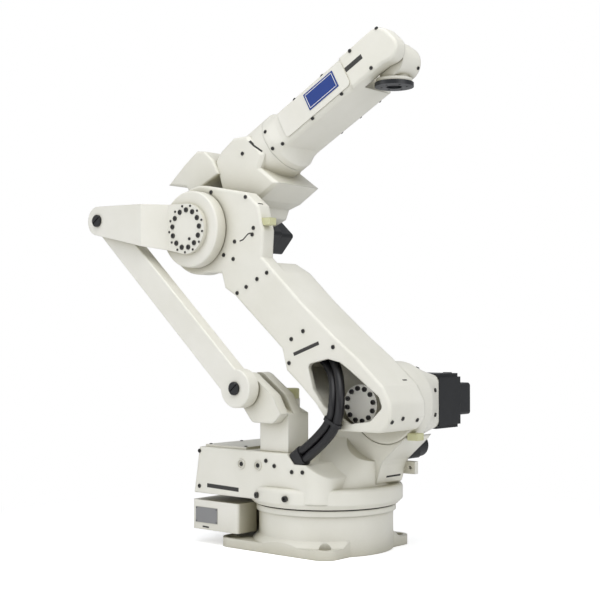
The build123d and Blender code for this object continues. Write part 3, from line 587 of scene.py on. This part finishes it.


# Painted shade: the slots and seams get flat dark bands for the shadow inside their gaps.
slot_shade_black = dark_skin("painted_slot_shade", "2B2A27", 0.6, 1.5, 0.05, 0.3)
stripe_black = dark_skin("printed_dark_stripe", "33322F", 0.5, 1.5, 0.02, 0.2)
seam_height, stripe_height = 0.5, 0.4
onto_head_facet, onto_shank_front = (-0.63, 0, -0.77), (-0.66, 0, -0.75)
for name, body, seats, width in (
        ("head_slot", "lower_arm", [seat("lower_arm", (2, y, 1266), onto_head_facet) for y in (-196, -172)], 5),
        ("head_seam", "lower_arm", near_seats("lower_arm", [
            (-196, 993), (-181, 997), (-170, 1006), (-160, 1014), (-148, 1017)]), 4),
        ("arm_front_slot", "lower_arm", [
            seat("lower_arm", (493, y, 700), onto_shank_front) for y in (-78, -56)], 5),
        ("neck_slot", "turret", front_seats("turret_casting", [(28, 238), (66, 238), (104, 238)]), 6),
        ("box_slot", "base", near_seats("connector_box", [(-340, 56), (-312, 55)]), 5),
        ("collar_slot", "forearm", near_seats("forearm_housing", [
            (-242, 1338), (-224, 1322), (-206, 1308), (-190, 1297)]), 9)):
    band(name, body, seats, width, seam_height, slot_shade_black)
for name, body, seats, width in (
        ("arm_stripe", "lower_arm", near_seats("lower_arm", [(35, 626), (136, 662)]), 11),
        ("deck_stripe", "turret", near_seats("turret_casting", [(-317, 193), (-176, 189)]), 13),
        ("tube_stripe", "forearm_tube", tube_seats([(-132, 6), (-58, 6)]), 16)):
    band(name, body, seats, width, stripe_height, stripe_black)

# Badge line: a fine line of white enamel just inside the edge of the blue plate, in four strokes
# that meet at the corners.
badge_low, badge_high = (Vector(corner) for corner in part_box("badge_plate"))
badge_middle = Vector(((badge_low.x + badge_high.x) / 2, badge_low.y, (badge_low.z + badge_high.z) / 2))
line_length, line_height = 0.122, 0.048
past_middle = 0.508         # share of a stroke on each side of its middle, so that corners close
line_white = cast_enamel("white_badge_line", "EFEFEC", "EBEBE7", 0.5)
outwards = Vector((0, -1, 0))
for name, run, centre, length in (
        ("badge_line_low", tube_run, -tube_rise * line_height / 2, line_length),
        ("badge_line_high", tube_run, tube_rise * line_height / 2, line_length),
        ("badge_line_rear", tube_rise, -tube_run * line_length / 2, line_height),
        ("badge_line_front", tube_rise, tube_run * line_length / 2, line_height)):
    ends = [badge_middle + centre + run * length * share for share in (-past_middle, past_middle)]
    band(name, "forearm_tube", [(end, outwards) for end in ends], 2, 0.3, line_white)


# Seal under the turret's ring: a moulded lip of black nitrile rubber, pressed onto the top of the
# drum. It has a dull skin and shows as a fine dark line.
def turned(name, body, centre, axis, profile, material, sides=48):
    """A closed turned shape from pairs of radius and height in mm along an axis."""
    mesh = bmesh.new()
    turn = Vector((0, 0, 1)).rotation_difference(Vector(axis)).to_matrix().to_4x4()
    place = Matrix.Translation(Vector(centre) / 1000) @ turn
    turns = [2 * math.pi * i / sides for i in range(sides)]
    rings = [[mesh.verts.new(place @ (Vector((radius * math.cos(a), radius * math.sin(a), height)) / 1000))
              for a in turns] for radius, height in profile]
    for one, two in zip(rings, rings[1:]):
        for i in range(sides):
            mesh.faces.new((one[i], one[(i + 1) % sides], two[(i + 1) % sides], two[i]))
    if profile[0] != profile[-1]:
        mesh.faces.new(rings[0])
        mesh.faces.new(rings[-1])
    bmesh.ops.remove_doubles(mesh, verts=mesh.verts, dist=1e-6)
    return settle(mesh, name, body, material)


seal_rubber = dark_skin("nitrile_lip_seal", "1D1C1A", 0.55, 2.0, 0.05, 0.5)
turned("turret_seal", "base", (0, 0, 143), (0, 0, 1), [(214, 0), (226, 0), (224, 4.4), (214, 4.4), (214, 0)],
       seal_rubber, 96)


# Link pins: turned from blackened steel and pushed through the link, with a flat head 8.5 mm
# thick, a broken edge and a slot 5 mm wide and 3.5 mm deep. The black is smooth and satin.
blackened_steel = dark_skin("blackened_steel", "17181A", 0.38, 1.5, 0.05, 1.0)
head_thick, shank_step, broken_edge = 8.5, 1.5, 2.5


def slotted_pin(node_name, body, slot_turn):
    """One pin with its slot turned by some degrees, in the place of the model's plain pin."""
    low, high = corners(node_name)
    radius, length = (high.x - low.x) / 2, high.y - low.y
    shank = radius - shank_step
    head = Vector(((low.x + high.x) / 2, low.y, (low.z + high.z) / 2))
    pin = turned("slotted_" + node_name, body, head, (0, 1, 0), [
        (radius - broken_edge, 0), (radius, broken_edge), (radius, head_thick), (shank, head_thick),
        (shank, length - 2), (shank - 2, length)], blackened_steel)
    slot = bmesh.new()
    bmesh.ops.create_cube(slot, size=1.0)
    slot.transform(Matrix.Translation(head / 1000) @ Matrix.Rotation(math.radians(slot_turn), 4, "Y")
                   @ Matrix.Diagonal((0.06, 0.007, 0.005, 1)))
    slot_mesh = bpy.data.meshes.new("pin_slot")
    slot.to_mesh(slot_mesh)
    slot.free()
    cutter = put("pin_slot", slot_mesh)
    cut = pin.modifiers.new("slot", "BOOLEAN")
    cut.object = cutter
    cut.solver = "EXACT"
    slotted = plain_mesh(pin)
    pin.modifiers.clear()
    pin.data = slotted
    bpy.data.objects.remove(cutter)
    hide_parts(node_name)


dress(blackened_steel, "lower_link_pin", "upper_link_pin")
slotted_pin("lower_link_pin", "turret", -40)
slotted_pin("upper_link_pin", "link_lever", -35)

# Motor fittings: four screws in the back of each motor's end cap, and on top of it a plug socket
# under a dust cap, a turned aluminium shell in the motor's own enamel.
socket_profile = [(15, -4), (15, 12), (12, 14), (12, 20), (16, 20), (16, 33), (14, 35)]
for node_name, body, screw_circle, first_turn in (
        ("j1_motor_cap", "turret", 27, 45), ("j2_motor_cap", "turret", 60, 45),
        ("j3_motor_cap", "forearm", 48, 3)):
    low, high = corners(node_name)
    middle = (low + high) / 2
    screws(node_name + "_screws", body, far_seats(
        node_name, around(middle / 1000, ring(4, screw_circle, first_turn))), 4, 2.5)
    turned(node_name + "_socket", body, (middle.x, middle.y, high.z), (0, 0, 1),
           socket_profile, motor_enamel, 32)

# Connector box fittings: screws round the panel's edge, rivets of the nameplate, and turned
# brass contacts in the panel's two sockets, with a warm dull shine.
panel_low, panel_high = corners("connector_panel")
end_margin, edge_margin, rivet_margin = 8, 6, 4
panel_run = panel_high.y - panel_low.y - 2 * end_margin
screws("panel_screws", "base", [
    seat("connector_panel", (-outside, panel_low.y + end_margin + share * panel_run, z), from_behind)
    for z in (panel_low.z + edge_margin, panel_high.z - edge_margin)
    for share in (0, 0.25, 0.5, 0.75, 1)], 3.5, 2.2)
plate_low, plate_high = corners("nameplate")
screws("nameplate_rivets", "base", near_seats("nameplate", [
    (x, z) for x in (plate_low.x + rivet_margin, plate_high.x - rivet_margin)
    for z in (plate_low.z + rivet_margin, plate_high.z - rivet_margin)]), 1.8, 0.8)
brass = worked_metal("turned_brass", "B08D4A", 0.35)
power_offsets = ring(6, 12) + [(0, 0)]
signal_offsets = [(column * 4.5, row * 6) for column in range(-5, 6) for row in (-1, 0, 1)]
for name, socket_name, offsets, contact_radius, contact_length in (
        ("power_contacts", "power_connector", power_offsets, 1.8, 22),
        ("signal_contacts", "signal_connector", signal_offsets, 0.8, 18)):
    low, high = corners(socket_name)
    middle = (low + high) / 2
    contacts = [(Vector((panel_low.x, middle.y + y, middle.z + z)) / 1000, Vector((-1, 0, 0)))
                for y, z in offsets]
    screws(name, "base", contacts, contact_radius, contact_length, brass, "connector_metal")

# Bosses on the deck: two round machined bosses that hold the deck's cover, painted with it, each
# with a cap screw sunk inside its rim.
boss_seats = near_seats("turret_casting", [(-164, 273), (-93, 273)])
boss_profile = [(12, -2), (17, -2), (16, 3), (13, 3), (12, -2)]
for i, (place, normal) in enumerate(boss_seats):
    turned(f"deck_boss_{i + 1}", "turret", place * 1000, normal, boss_profile, machined_enamel, 32)
screws("deck_boss_screws", "turret", boss_seats, 7, 2)
